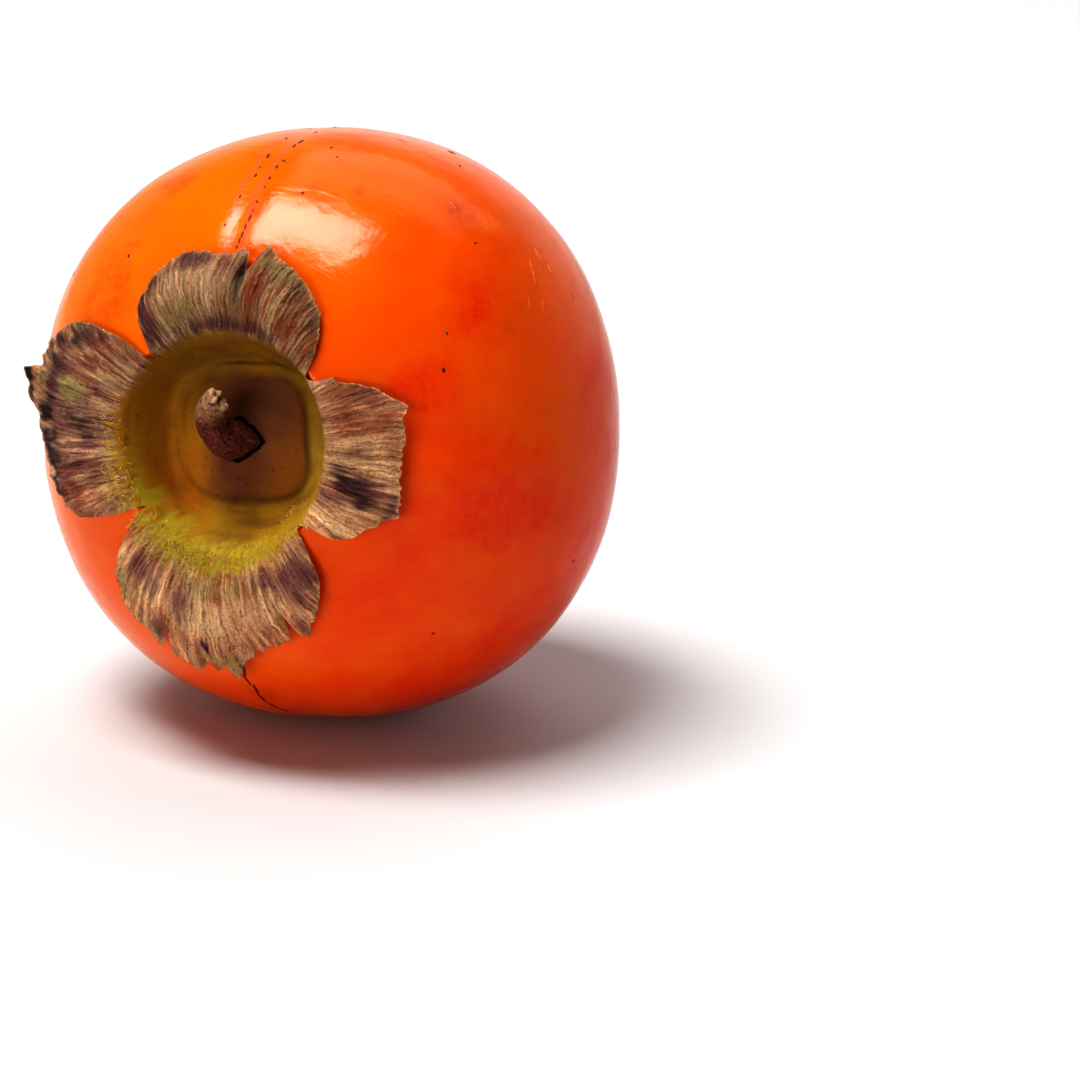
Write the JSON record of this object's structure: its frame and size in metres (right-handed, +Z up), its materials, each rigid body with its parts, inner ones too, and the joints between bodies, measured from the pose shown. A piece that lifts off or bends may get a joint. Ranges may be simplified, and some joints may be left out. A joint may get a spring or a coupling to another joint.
{
  "type": "persimmon",
  "caption": "Ripe orange persimmon lying on its side, with its dry lobed calyx, a bent stub of stalk and a small dry style tip.",
  "frame": {"origin": "on the surface the fruit rests on, under the middle of the box round the whole fruit", "axes": "+Z up; the fruit's own axis lies along Y, with the calyx at -Y raised 9.5 degrees, so Y is the shortest extent; +X to the right of someone who looks at the calyx"},
  "size_m": [0.0732, 0.0618, 0.0725],
  "materials": {
    "skin": "thin waxy fruit skin, orange, glossy",
    "calyx": "dry leathery sepal, matt, pleated",
    "stalk": "dry broken stalk, matt, fibrous",
    "style_tip": "dried black point, matt"
  },
  "bodies": {
    "root": {"fruit": "skin", "calyx": "calyx", "stalk": "stalk", "style_tip": "style_tip"}
  },
  "joints": []
}
